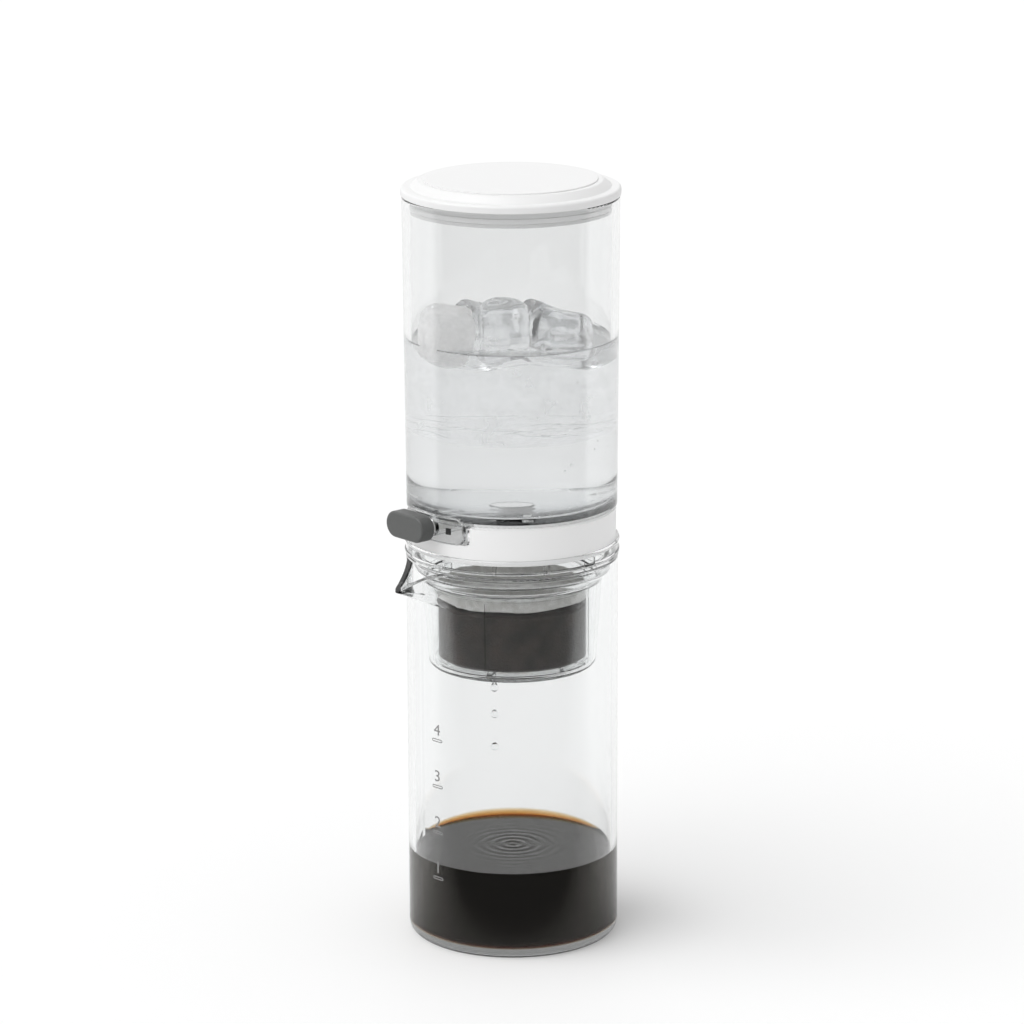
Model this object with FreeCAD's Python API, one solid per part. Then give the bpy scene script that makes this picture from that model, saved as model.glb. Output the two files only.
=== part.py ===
import math
import os

import FreeCAD
import Part

from FreeCAD import Vector

# Carafe
carafe_radius = 44.0
carafe_wall = 2.8
carafe_height = 163.9
carafe_floor = 3.6
foot_round = 4.4
inner_foot_round = 3.0
rim_round = 0.5

# Pouring spout, turned from -X towards +Y
spout_turn = 10.0
spout_reach = 11.5
spout_drop = 8.6
spout_depth = 14.4
spout_tip_height = 0.8
spout_tip_round = 3.6
spout_side_round = 40.0
spout_rim_run = 14.0
spout_rim_round = 15.0
spout_trim = 1.0

# Dripper collar
collar_flange = 1.5
collar_rib_height = 3.9
collar_lip_height = 2.4
collar_wall = 0.7
collar_bead = 0.95
collar_bead_rise = 0.4
collar_rib_count = 12
collar_rib_width = 1.0
collar_rib_turn = -9.0

# Dripper funnel and cup
dripper_wall = 1.6
plug_length = 5.3
plug_clearance = 0.9
funnel_height = 2.7
cup_inset = 2.8
cup_depth = 46.7
cup_floor = 1.8
cup_taper = 2.7
cup_foot_round = 3.2
seat_width = 1.3
seat_below_funnel = 1.7
drain_radius = 0.9
drain_ring_radius = 28.0
drain_count = 6
drain_turn = -33.6

# Seal round the dripper's plug
gasket_height = 2.4
gasket_below_rim = 1.9
gasket_groove = 0.5
gasket_reach = 0.6

# Strainer basket
strainer_gap = 0.3
strainer_flange = 1.2
strainer_inset = 4.85
strainer_collar_height = 5.0
strainer_rib_count = 4
strainer_rib_width = 2.0
strainer_rib_depth = 1.1
strainer_rib_turn = -30.7
strainer_hoop_height = 2.0
strainer_floor_bar = 1.6
mesh_thickness = 0.35

# White base cover under the tank
cover_inset = 0.8
cover_wall = 1.8
cover_height = 15.0
cover_shoulder = 1.3
cover_neck_wall = 1.6
cover_neck_height = 1.7
cover_floor = 1.5
cover_floor_rise = 1.7
cover_post_wall = 1.6
cover_post_room = 2.0
cover_edge_round = 0.4
cover_fit = 0.2
lip_clearance = 0.3

# Water tank
tank_overhang = 0.5
tank_gap = 1.2
tank_height = 129.9
tank_taper = 1.0
tank_wall = 3.0
tank_skirt = 0.8
tank_floor = 2.2
tank_inner_round = 3.0
tank_rim_round = 0.8
tank_boss_radius = 3.2
outlet_radius = 1.8

# Screws that hold the base cover to the tank
screw_count = 3
screw_ring_radius = 30.0
screw_radius = 1.25
screw_fit = 0.05
screw_head_radius = 2.4
screw_head_height = 1.4
screw_length = 10.0
screw_slot_width = 0.6
screw_slot_depth = 0.6

# Drip valve
valve_drop = 2.7
spindle_radius = 2.25
spindle_fit = 0.05
spindle_port_radius = 0.8
spindle_tail = 2.0
spindle_grip = 4.9
spindle_flat = 0.6
ring_section = 0.36
ring_groove_width = 0.9
ring_inner_place = 4.5
ring_outer_place = 5.0
housing_radius = 7.0
housing_face = 6.2
housing_below = 4.8
barrel_wall = 1.7
pad_below = 5.5
pad_above = 5.7
pad_half_width = 17.6
pad_thickness = 1.7
pad_corner_round = 3.5
pad_edge_round = 0.6
pad_clearance = 0.2
pad_boss_radius = 4.6
pad_boss_rise = 0.4
notch_margin = 0.9
notch_corner_round = 1.5

# Small valve pieces
gasket_inner_radius = 2.5
gasket_outer_radius = 4.5
outlet_gasket_height = 1.0
screen_radius = 6.5
screen_thickness = 0.4
nozzle_radius = 2.2
nozzle_bore_radius = 1.0
nozzle_socket = 2.0
nozzle_below_cover = 1.8
nozzle_tip_round = 0.6
clip_radius = 3.2
clip_thickness = 0.6
clip_play = 0.15
clip_opening = 2.6
washer_radius = 4.0
washer_thickness = 0.5
washer_play = 0.1

# Index mark on the valve pad
index_offset = 11.0
index_width = 2.0
index_height = 2.6
index_depth = 0.8
index_proud = 0.05

# Valve lever
knob_thickness = 6.5
knob_radius = 5.5
knob_length = 23.4
knob_front_round = 0.9
knob_back_round = 0.5
knob_fit = 0.02

# Lid
lid_overhang = 0.4
lid_rim_height = 3.3
lid_rim_width = 3.9
lid_rim_round = 1.2
lid_disc_inset = 9.4
lid_disc_height = 6.6
lid_disc_step = 0.5
lid_disc_round = 0.3
lid_ledge = 2.0
lid_wall = 2.0
lid_hollow_height = 2.8
lid_skirt_depth = 6.4
lid_skirt_wall = 1.8
lid_skirt_clearance = 0.5
seal_height = 2.5
seal_below_rim = 2.4
seal_groove = 1.0
seal_reach = 0.2

# Heights of the stack
rim_z = carafe_height
collar_floor_z = rim_z + collar_flange
cover_z = collar_floor_z + collar_rib_height
lip_top_z = cover_z + collar_lip_height
cover_top_z = cover_z + cover_height
tank_z = cover_top_z + tank_gap
floor_under_z = tank_z + tank_skirt
floor_top_z = floor_under_z + tank_floor
tank_top_z = tank_z + tank_height
valve_z = tank_z - valve_drop
lid_rim_z = tank_top_z + lid_rim_height
lid_top_z = tank_top_z + lid_disc_height
lid_hollow_z = tank_top_z + lid_hollow_height

# Radii that several pieces share
carafe_inner_radius = carafe_radius - carafe_wall
plug_radius = carafe_inner_radius - plug_clearance
cup_top_radius = plug_radius - cup_inset
cover_radius = carafe_radius - cover_inset
lip_inner_radius = cover_radius + lip_clearance
collar_radius = lip_inner_radius + collar_wall
tank_radius = cover_radius + tank_overhang
tank_top_radius = tank_radius + tank_taper
bore_radius = spindle_radius + spindle_fit
barrel_radius = bore_radius + barrel_wall
pad_inner_radius = tank_radius + pad_clearance
pad_radius = pad_inner_radius + pad_thickness
pad_face = pad_radius + pad_boss_rise
post_radius = nozzle_radius + cover_post_room + cover_post_wall
cover_floor_z = cover_z + cover_floor_rise
cover_floor_top_z = cover_floor_z + cover_floor
housing_z = valve_z - housing_below
nozzle_top_z = housing_z + nozzle_socket
cup_z = rim_z - cup_depth
plug_z = rim_z - plug_length
funnel_z = plug_z - funnel_height
seat_z = funnel_z - seat_below_funnel
gasket_top_z = rim_z - gasket_below_rim
gasket_low_z = gasket_top_z - gasket_height
cup_foot_radius = cup_top_radius - cup_taper
seat_outer_radius = cup_top_radius - dripper_wall + 0.3
cup_inner_radius = seat_outer_radius - seat_width
cup_inner_foot_radius = cup_foot_radius - dripper_wall
strainer_radius = seat_outer_radius - strainer_gap
basket_radius = strainer_radius - strainer_inset
basket_z = cup_z + cup_floor + strainer_gap
basket_rim_z = seat_z + strainer_flange
notch_z = valve_z - pad_below - pad_clearance
groove_radius = bore_radius - 2 * ring_section - 0.02
knob_back = pad_face + washer_play + washer_thickness
clip_far = housing_face + clip_play + clip_thickness
seal_top_z = tank_top_z - seal_below_rim
seal_low_z = seal_top_z - seal_height

UP = Vector(0, 0, 1)
OUT = Vector(-1, 0, 0)
ORIGIN = Vector(0, 0, 0)


def tangent_arc(before, corner, after, radius):
    to_before = (before - corner).normalize()
    to_after = (after - corner).normalize()
    half_angle = to_before.getAngle(to_after) / 2
    reach = radius / math.tan(half_angle)
    inward = (to_before + to_after).normalize()
    start = corner + to_before * reach
    middle = corner + inward * (radius / math.sin(half_angle) - radius)
    end = corner + to_after * reach
    return start, middle, end


def rounded_face(corners):
    """Face from corners (point, radius), where a radius of 0 stays sharp."""
    edges = []
    starts = []
    ends = []
    for index, (corner, radius) in enumerate(corners):
        before = corners[index - 1][0]
        after = corners[(index + 1) % len(corners)][0]
        if radius > 0:
            start, middle, end = tangent_arc(before, corner, after, radius)
            edges.append(Part.Arc(start, middle, end).toShape())
        else:
            start = corner
            end = corner
        starts.append(start)
        ends.append(end)
    for index, end in enumerate(ends):
        start = starts[(index + 1) % len(starts)]
        if end.distanceToPoint(start) > 1e-6:
            edges.append(Part.LineSegment(end, start).toShape())
    return Part.Face(Part.Wire(Part.__sortEdges__(edges)))


def turned(profile):
    """Solid of revolution about Z from (radius, height[, corner radius]) points."""
    corners = [(Vector(p[0], 0, p[1]), p[2] if len(p) > 2 else 0) for p in profile]
    return rounded_face(corners).revolve(ORIGIN, UP, 360)


def tube(outer, inner, low, high):
    return turned([(inner, low), (outer, low), (outer, high), (inner, high)])


def rod(radius, low, high, at=ORIGIN):
    return Part.makeCylinder(radius, high - low, at + UP * low, UP)


def radial_rod(radius, near, far):
    """Cylinder along -X at the valve's height, between two distances from the axis."""
    return Part.makeCylinder(radius, far - near, Vector(-near, 0, valve_z), OUT)


def around(shape, degrees):
    copy = shape.copy()
    copy.rotate(ORIGIN, UP, degrees)
    return copy


def from_front(degrees):
    """Turn that takes +X to a direction given from -X towards +Y."""
    return 180 - degrees


def side_plate(half_width, low, high, near, far, corner_round):
    """Plate square to X with rounded corners, between two distances along -X."""
    corners = [
        (Vector(-near, -half_width, low), corner_round),
        (Vector(-near, half_width, low), corner_round),
        (Vector(-near, half_width, high), corner_round),
        (Vector(-near, -half_width, high), corner_round),
    ]
    return rounded_face(corners).extrude(OUT * (far - near))


def mirrored(point):
    return Vector(point.x, -point.y, point.z)


def spout_outline(inset, height):
    """Wire of a circle drawn out to a rounded tip at +X by hollow sides, and its spread."""
    radius = carafe_radius - inset
    tip_round = spout_tip_round - inset
    side_round = spout_side_round + inset
    tip = carafe_radius + spout_reach - inset
    tip_centre = Vector(tip - tip_round, 0, height)
    from_axis = radius + side_round
    from_tip = tip_round + side_round
    side_x = (from_axis ** 2 - from_tip ** 2 + tip_centre.x ** 2) / (2 * tip_centre.x)
    spread = math.acos(side_x / from_axis)
    side_centre = Vector(side_x, from_axis * math.sin(spread), height)
    flank = Vector(radius * math.cos(spread), radius * math.sin(spread), height)
    nose = tip_centre + (side_centre - tip_centre).normalize() * tip_round
    hollow = side_centre + ((flank + nose) / 2 - side_centre).normalize() * side_round
    back = Part.Arc(flank, Vector(-radius, 0, height), mirrored(flank)).toShape()
    side = Part.Arc(mirrored(flank), mirrored(hollow), mirrored(nose)).toShape()
    end = Part.Arc(mirrored(nose), Vector(tip, 0, height), nose).toShape()
    other_side = Part.Arc(nose, hollow, flank).toShape()
    return Part.Wire([back, side, end, other_side]), spread


def circle_outline(radius, spread, height):
    """Circle split at the same four places as the spout's outline."""
    nose_turn = spread / 4

    def at(angle):
        return Vector(radius * math.cos(angle), radius * math.sin(angle), height)

    back = Part.Arc(at(spread), at(math.pi), at(-spread)).toShape()
    side = Part.Arc(at(-spread), at(-(spread + nose_turn) / 2), at(-nose_turn)).toShape()
    end = Part.Arc(at(-nose_turn), at(0), at(nose_turn)).toShape()
    other_side = Part.Arc(at(nose_turn), at((spread + nose_turn) / 2), at(spread)).toShape()
    return Part.Wire([back, side, end, other_side])


def spout_head(inset, low, high):
    """Top of the carafe: a circle at its foot that is drawn out to the spout, then upright."""
    full_z = rim_z - spout_drop - spout_tip_height
    full, spread = spout_outline(inset, full_z)
    foot = circle_outline(carafe_radius - inset, spread, low)
    flared = Part.makeLoft([foot, full], True, True)
    return flared.fuse(Part.Face(full).extrude(UP * (high - full_z)))


def carafe():
    """Glass jug with a flat foot and a pulled spout."""
    low = rim_z - spout_depth
    high = rim_z + spout_trim
    outer = turned([(0, 0), (carafe_radius, 0, foot_round), (carafe_radius, low), (0, low)])
    outer = outer.fuse(spout_head(0, low, high))
    inner = turned([
        (0, carafe_floor),
        (carafe_inner_radius, carafe_floor, inner_foot_round),
        (carafe_inner_radius, low),
        (0, low),
    ])
    inner = inner.fuse(spout_head(carafe_wall, low, high))
    glass = outer.cut(inner).cut(above_rim())
    rim = [face for face in glass.Faces if on_rim(face)]
    rim_edges = [edge for edge in glass.Edges if borders_once(edge, rim)]
    return around(glass.makeFillet(rim_round, rim_edges), from_front(spout_turn))


def above_rim():
    """Space over the jug: flat at the rim, then falling towards the spout's tip."""
    tip = carafe_radius + spout_reach
    rim_start = tip - spout_rim_run
    far = 2 * tip
    far_z = rim_z - spout_drop / spout_rim_run * (far - rim_start)
    above = rim_z + tip
    return rounded_face([
        (Vector(-tip, -tip, rim_z), 0),
        (Vector(rim_start, -tip, rim_z), spout_rim_round),
        (Vector(far, -tip, far_z), 0),
        (Vector(far, -tip, above), 0),
        (Vector(-tip, -tip, above), 0),
    ]).extrude(Vector(0, 2 * tip, 0))


def on_rim(face):
    """True for the faces that the trimming over the rim left behind."""
    low, high, left, right = face.ParameterRange
    normal = face.normalAt((low + high) / 2, (left + right) / 2)
    return normal.z > 0.6 and face.CenterOfMass.z > rim_z - spout_drop - 1


def borders_once(edge, faces):
    return sum(edge.isSame(other) for face in faces for other in face.Edges) == 1


def dripper_body():
    """Collar, funnel and cup: one clear moulding with ribs in its collar."""
    inside = plug_radius - dripper_wall
    body = turned([
        (0, cup_z),
        (cup_foot_radius, cup_z, cup_foot_round),
        (cup_top_radius, funnel_z, 1.0),
        (plug_radius, plug_z, 1.0),
        (plug_radius, gasket_low_z),
        (plug_radius - gasket_groove, gasket_low_z),
        (plug_radius - gasket_groove, gasket_top_z),
        (plug_radius, gasket_top_z),
        (plug_radius, rim_z),
        (collar_radius, rim_z, 0.3),
        (collar_radius, lip_top_z, 0.3),
        (lip_inner_radius, lip_top_z, 0.3),
        (lip_inner_radius, collar_floor_z),
        (inside, collar_floor_z, 0.5),
        (inside, plug_z + 0.5, 1.0),
        (seat_outer_radius, funnel_z + 0.2, 0.6),
        (seat_outer_radius, seat_z),
        (cup_inner_radius, seat_z),
        (cup_inner_foot_radius, cup_z + cup_floor, 1.5),
        (0, cup_z + cup_floor),
    ])
    centre = collar_radius + collar_bead_rise - collar_bead
    inner_side = rod(lip_inner_radius + collar_wall / 2, rim_z, lip_top_z)
    for bead_z in (lip_top_z - collar_bead, collar_floor_z + collar_bead):
        body = body.fuse(Part.makeTorus(centre, collar_bead, Vector(0, 0, bead_z)).cut(inner_side))
    rib_low_z = collar_floor_z - collar_flange / 2
    rib_corner = Vector(inside, -collar_rib_width / 2, rib_low_z)
    rib_reach = lip_inner_radius + collar_wall / 2 - inside
    rib = Part.makeBox(rib_reach, collar_rib_width, cover_z - rib_low_z, rib_corner)
    for index in range(collar_rib_count):
        body = body.fuse(around(rib, from_front(collar_rib_turn + 360 / collar_rib_count * index)))
    drain = rod(drain_radius, cup_z - 1, cup_z + cup_floor + 1)
    body = body.cut(drain)
    drain.translate(Vector(drain_ring_radius, 0, 0))
    for index in range(drain_count):
        body = body.cut(around(drain, from_front(drain_turn + 360 / drain_count * index)))
    return body


def collar_gasket():
    """Silicone ring in the groove of the plug, just clear of the glass."""
    inner = plug_radius - gasket_groove
    outer = plug_radius + gasket_reach
    return turned([
        (inner, gasket_low_z),
        (outer, gasket_low_z, 0.5),
        (outer, gasket_top_z, 0.5),
        (inner, gasket_top_z),
    ])


def strainer_frame():
    """Rim, uprights, bottom hoop and floor cross of the basket."""
    outer = basket_radius + strainer_rib_depth
    collar_z = basket_rim_z - strainer_collar_height
    mesh_radius = basket_radius + mesh_thickness
    frame = turned([
        (basket_radius, collar_z),
        (outer, collar_z, 0.3),
        (outer, seat_z),
        (strainer_radius, seat_z),
        (strainer_radius, basket_rim_z, 0.5),
        (basket_radius, basket_rim_z, 0.5),
    ])
    hoop = tube(outer, basket_radius - strainer_floor_bar, basket_z, basket_z + strainer_hoop_height)
    frame = frame.fuse(hoop)
    rib_corner = Vector(mesh_radius, -strainer_rib_width / 2, basket_z)
    rib = Part.makeBox(outer - mesh_radius - 0.02, strainer_rib_width, basket_rim_z - basket_z - 1, rib_corner)
    bar_corner = Vector(0, -strainer_rib_width / 2, basket_z)
    bar = Part.makeBox(basket_radius - 0.5, strainer_rib_width, strainer_hoop_height / 2, bar_corner)
    for index in range(strainer_rib_count):
        turn = from_front(strainer_rib_turn + 360 / strainer_rib_count * index)
        frame = frame.fuse([around(rib, turn), around(bar, turn)])
    seat = rod(basket_radius - strainer_floor_bar / 2, basket_z + strainer_hoop_height / 2,
               basket_z + strainer_hoop_height)
    return frame.cut(seat).cut(strainer_side_mesh())


def strainer_side_mesh():
    """Fine woven sheet round the basket, gripped by the rim and the hoop."""
    low = basket_z + strainer_hoop_height / 2
    high = basket_rim_z - strainer_collar_height + 1
    return tube(basket_radius + mesh_thickness, basket_radius, low, high)


def strainer_floor_mesh():
    """Woven disc that lies on the floor cross."""
    low = basket_z + strainer_hoop_height / 2
    return rod(basket_radius - strainer_floor_bar / 2, low, low + mesh_thickness)


def tank():
    """Clear tank with its floor, outlet and the posts for three screws."""
    inner_top = tank_top_radius - tank_wall
    inner_foot = tank_radius - tank_wall
    body = turned([
        (0, floor_under_z),
        (inner_foot, floor_under_z),
        (inner_foot, tank_z),
        (tank_radius, tank_z, 0.5),
        (tank_top_radius, tank_top_z, tank_rim_round),
        (inner_top, tank_top_z, tank_rim_round),
        (inner_foot, floor_top_z, tank_inner_round),
        (0, floor_top_z),
    ])
    post = rod(tank_boss_radius, cover_floor_top_z, floor_under_z + tank_floor / 2)
    pilot = rod(screw_radius + screw_fit, cover_floor_z, cover_floor_z + screw_length + 1)
    for place in screw_places():
        body = body.fuse(moved(post, place)).cut(moved(pilot, place))
    body = body.cut(rod(outlet_radius, floor_under_z - 1, floor_top_z + 1))
    body = body.cut(outlet_gasket()).cut(outlet_screen())
    return body.cut(radial_rod(barrel_radius + cover_fit, 0, tank_radius + 1))


def screw_places():
    """Centres of the base screws, the first of them opposite the valve."""
    return [
        around(Part.Vertex(screw_ring_radius, 0, 0), 360 / screw_count * index).Point
        for index in range(screw_count)
    ]


def moved(shape, place):
    copy = shape.copy()
    copy.translate(place)
    return copy


def outlet_screen():
    return rod(screen_radius, floor_top_z - screen_thickness, floor_top_z)


def outlet_gasket():
    high = floor_under_z + outlet_gasket_height
    return tube(gasket_outer_radius, gasket_inner_radius, floor_under_z, high)


def tank_base_cover():
    """White cup that hides the valve and stands in the dripper's collar."""
    inner = cover_radius - cover_wall
    neck_outer = tank_radius - tank_wall - cover_fit
    neck_inner = neck_outer - cover_neck_wall
    shoulder_z = cover_top_z - cover_shoulder
    neck_top_z = floor_under_z - cover_fit
    body = turned([
        (0, cover_floor_z),
        (inner, cover_floor_z),
        (inner, cover_z),
        (cover_radius, cover_z, cover_edge_round),
        (cover_radius, cover_top_z),
        (neck_outer, cover_top_z),
        (neck_outer, neck_top_z),
        (neck_inner, neck_top_z),
        (neck_inner, shoulder_z),
        (inner, shoulder_z),
        (inner, cover_floor_top_z, 0.8),
        (0, cover_floor_top_z),
    ])
    body = body.fuse(rod(post_radius, cover_floor_z, housing_z))
    body = body.cut(rod(post_radius - cover_post_wall, cover_floor_z - 1, housing_z + 1))
    hole = rod(screw_radius + screw_fit, cover_floor_z - 1, cover_floor_top_z + 1)
    for place in screw_places():
        body = body.cut(moved(hole, place))
    notch_top_z = tank_z + notch_corner_round
    notch = side_plate(pad_half_width + notch_margin, notch_z, notch_top_z,
                       neck_inner / 2, tank_radius + 1, notch_corner_round)
    return body.cut(notch)


def base_screws():
    """Three screws with slotted heads, driven up into the tank's posts."""
    head_z = cover_floor_z - screw_head_height
    screw = rod(screw_radius, cover_floor_z - 0.1, cover_floor_z + screw_length)
    head = turned([
        (0, head_z),
        (screw_head_radius, head_z, 0.5),
        (screw_head_radius, cover_floor_z),
        (0, cover_floor_z),
    ])
    slot_corner = Vector(-screw_head_radius, -screw_slot_width / 2, head_z - 1)
    slot = Part.makeBox(2 * screw_head_radius, screw_slot_width, screw_slot_depth + 1, slot_corner)
    screw = screw.fuse(head).cut(slot)
    return Part.makeCompound([moved(screw, place) for place in screw_places()])


def valve_housing():
    """Clear block under the outlet, its barrel and the pad in the cover's notch."""
    block = rod(housing_radius, housing_z, floor_under_z)
    beyond = Vector(housing_face, -housing_radius, housing_z - 1)
    block = block.cut(Part.makeBox(housing_radius, 2 * housing_radius, floor_under_z, beyond))
    barrel = radial_rod(barrel_radius, 0, pad_radius - pad_thickness / 2)
    under_floor = rod(carafe_radius, housing_z - 1, floor_under_z)
    pad = side_plate(pad_half_width, valve_z - pad_below, valve_z + pad_above,
                     pad_radius / 2, pad_face + 1, pad_corner_round)
    pad = pad.common(tube(pad_radius, pad_inner_radius, cover_z, lid_top_z))
    filler = side_plate(pad_half_width + notch_margin - pad_clearance, notch_z + pad_clearance,
                        tank_z - pad_clearance, pad_radius / 2, pad_face + 1, notch_corner_round)
    filler = filler.common(tube(pad_inner_radius + 0.01, cover_radius - cover_wall, cover_z, tank_z))
    rounded = [edge for edge in pad.Edges if follows_pad_front(edge)]
    pad = pad.makeFillet(pad_edge_round, rounded)
    body = block.fuse([barrel, filler]).common(under_floor.fuse(filler)).fuse(pad)
    body = body.fuse(barrel.common(rod(pad_radius, housing_z, floor_under_z)))
    body = body.fuse(radial_rod(pad_boss_radius, pad_inner_radius + 0.1, pad_face))
    body = body.cut(radial_rod(bore_radius, -2 * housing_radius, pad_face + 1))
    body = body.cut(rod(spindle_port_radius, housing_z - 1, floor_under_z + 1))
    body = body.cut(rod(nozzle_radius, housing_z - 1, nozzle_top_z))
    return body.cut(index_mark())


def follows_pad_front(edge):
    """True for the edges on the outer face of the pad."""
    return all(
        math.hypot(vertex.X, vertex.Y) > pad_radius - 0.01
        for vertex in edge.Vertexes
    )


def index_mark():
    """Dark inlay in the pad, across the spindle from the lever."""
    corner = Vector(-pad_radius - 1, -index_offset - index_width / 2, valve_z - index_height / 2)
    block = Part.makeBox(pad_radius / 2, index_width, index_height, corner)
    return block.common(tube(pad_radius + index_proud, pad_radius - index_depth, cover_z, tank_top_z))


def drip_nozzle():
    """Steel tube that leads the drops down through the cover."""
    low = cover_z - nozzle_below_cover
    return turned([
        (nozzle_bore_radius, low),
        (nozzle_radius, low, nozzle_tip_round),
        (nozzle_radius, nozzle_top_z),
        (nozzle_bore_radius, nozzle_top_z),
    ])


def ring_places():
    """Distances from the axis of the two rings, one on either side of the port."""
    return (-ring_inner_place, ring_outer_place)


def valve_spindle():
    """Rod with a cross port at the axis, two ring grooves and a clip groove."""
    tail = housing_face + spindle_tail
    head = knob_back + spindle_grip
    body = radial_rod(spindle_radius, -tail, head)
    body = body.cut(rod(spindle_port_radius, valve_z - 2 * spindle_radius, valve_z + 2 * spindle_radius))
    for place in ring_places():
        near = place - ring_groove_width / 2
        groove = radial_rod(spindle_radius + 1, near, near + ring_groove_width)
        body = body.cut(groove.cut(radial_rod(groove_radius, near - 1, near + ring_groove_width + 1)))
    clip_near = -clip_far
    groove = radial_rod(spindle_radius + 1, clip_near, clip_near + clip_thickness)
    body = body.cut(groove.cut(radial_rod(groove_radius, clip_near - 1, clip_near + clip_thickness + 1)))
    return body.cut(spindle_flat_block())


def spindle_flat_block(fit=0.0):
    """Material missing above the flat at the lever's end of the spindle."""
    corner = Vector(-knob_back - knob_thickness, -spindle_radius - 1, valve_z + spindle_radius - spindle_flat + fit)
    return Part.makeBox(knob_thickness, 2 * spindle_radius + 2, spindle_flat + 1, corner)


def spindle_o_rings():
    rings = [
        Part.makeTorus(groove_radius + ring_section, ring_section, Vector(-place, 0, valve_z), OUT)
        for place in ring_places()
    ]
    return Part.makeCompound(rings)


def spindle_clip():
    """Open spring washer in the groove at the spindle's inner end."""
    clip = radial_rod(clip_radius, -clip_far, -clip_far + clip_thickness)
    clip = clip.cut(radial_rod(groove_radius, -clip_far - 1, -clip_far + clip_thickness + 1))
    corner = Vector(clip_far - clip_thickness - 1, -clip_opening / 2, valve_z - 2 * clip_radius)
    return clip.cut(Part.makeBox(clip_thickness + 2, clip_opening, 2 * clip_radius, corner))


def knob_washer():
    """Thin sliding washer behind the lever."""
    near = pad_face + washer_play
    washer = radial_rod(washer_radius, near, near + washer_thickness)
    return washer.cut(radial_rod(bore_radius, near - 1, near + washer_thickness + 1))


def valve_knob():
    """Rounded lever that lies across the pad while the valve is open."""
    reach = knob_length - 2 * knob_radius
    back = Vector(-knob_back, 0, valve_z)
    low = back + Vector(0, 0, -knob_radius)
    high = back + Vector(0, 0, knob_radius)
    along = Vector(0, reach, 0)
    outline = Part.Wire([
        Part.Arc(high, back - Vector(0, knob_radius, 0), low).toShape(),
        Part.LineSegment(low, low + along).toShape(),
        Part.Arc(low + along, back + Vector(0, knob_length - knob_radius, 0), high + along).toShape(),
        Part.LineSegment(high + along, high).toShape(),
    ])
    lever = Part.Face(outline).extrude(OUT * knob_thickness)
    front_x = -knob_back - knob_thickness
    front = [edge for edge in lever.Edges if edge.BoundBox.XMax < front_x + 0.01]
    lever = lever.makeFillet(knob_front_round, front)
    rear = [edge for edge in lever.Edges if edge.BoundBox.XMin > -knob_back - 0.01]
    lever = lever.makeFillet(knob_back_round, rear)
    bore = radial_rod(spindle_radius + knob_fit, knob_back - 1, knob_back + spindle_grip + knob_fit)
    return lever.cut(bore.cut(spindle_flat_block(knob_fit)))


def lid_cover():
    """White lid with a raised disc on top, a low rim and a plug below."""
    lid_radius = tank_top_radius + lid_overhang
    disc_radius = lid_radius - lid_disc_inset
    hollow_radius = disc_radius - lid_wall
    ledge_z = lid_top_z - lid_disc_step
    plug_outer = tank_top_radius - tank_wall - lid_skirt_clearance
    plug_inner = plug_outer - lid_skirt_wall
    plug_low_z = tank_top_z - lid_skirt_depth
    return turned([
        (0, lid_top_z - lid_wall),
        (hollow_radius, lid_top_z - lid_wall, 0.5),
        (hollow_radius, lid_hollow_z, 0.3),
        (plug_inner, lid_hollow_z, 1.5),
        (plug_inner, plug_low_z, 0.6),
        (plug_outer, plug_low_z, 0.6),
        (plug_outer, seal_low_z),
        (plug_outer - seal_groove, seal_low_z),
        (plug_outer - seal_groove, seal_top_z),
        (plug_outer, seal_top_z),
        (plug_outer, tank_top_z),
        (lid_radius, tank_top_z, 0.3),
        (lid_radius, lid_rim_z, lid_rim_round),
        (lid_radius - lid_rim_width, lid_rim_z, 0.5),
        (disc_radius + lid_ledge, ledge_z, 1.5),
        (disc_radius, ledge_z),
        (disc_radius, lid_top_z, lid_disc_round),
        (0, lid_top_z),
    ])


def lid_seal():
    """Silicone ring in the groove of the lid's plug."""
    plug_outer = tank_top_radius - tank_wall - lid_skirt_clearance
    return turned([
        (plug_outer - seal_groove, seal_low_z),
        (plug_outer + seal_reach, seal_low_z, 0.6),
        (plug_outer + seal_reach, seal_top_z, 0.6),
        (plug_outer - seal_groove, seal_top_z),
    ])


subparts = {
    "carafe": carafe,
    "dripper_body": dripper_body,
    "collar_gasket": collar_gasket,
    "strainer_frame": strainer_frame,
    "strainer_side_mesh": strainer_side_mesh,
    "strainer_floor_mesh": strainer_floor_mesh,
    "tank": tank,
    "outlet_screen": outlet_screen,
    "outlet_gasket": outlet_gasket,
    "tank_base_cover": tank_base_cover,
    "base_screws": base_screws,
    "valve_housing": valve_housing,
    "index_mark": index_mark,
    "drip_nozzle": drip_nozzle,
    "valve_spindle": valve_spindle,
    "spindle_o_rings": spindle_o_rings,
    "spindle_clip": spindle_clip,
    "knob_washer": knob_washer,
    "valve_knob": valve_knob,
    "lid_cover": lid_cover,
    "lid_seal": lid_seal,
}

os.makedirs("parts", exist_ok=True)
for name, make in subparts.items():
    shape = make()
    print(name, shape.isValid(), len(shape.Solids), round(shape.Volume, 2))
    shape.exportStep("parts/" + name + ".step")
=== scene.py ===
import math
import random

import bmesh
import bpy
from mathutils import Matrix, Vector, noise


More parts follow.
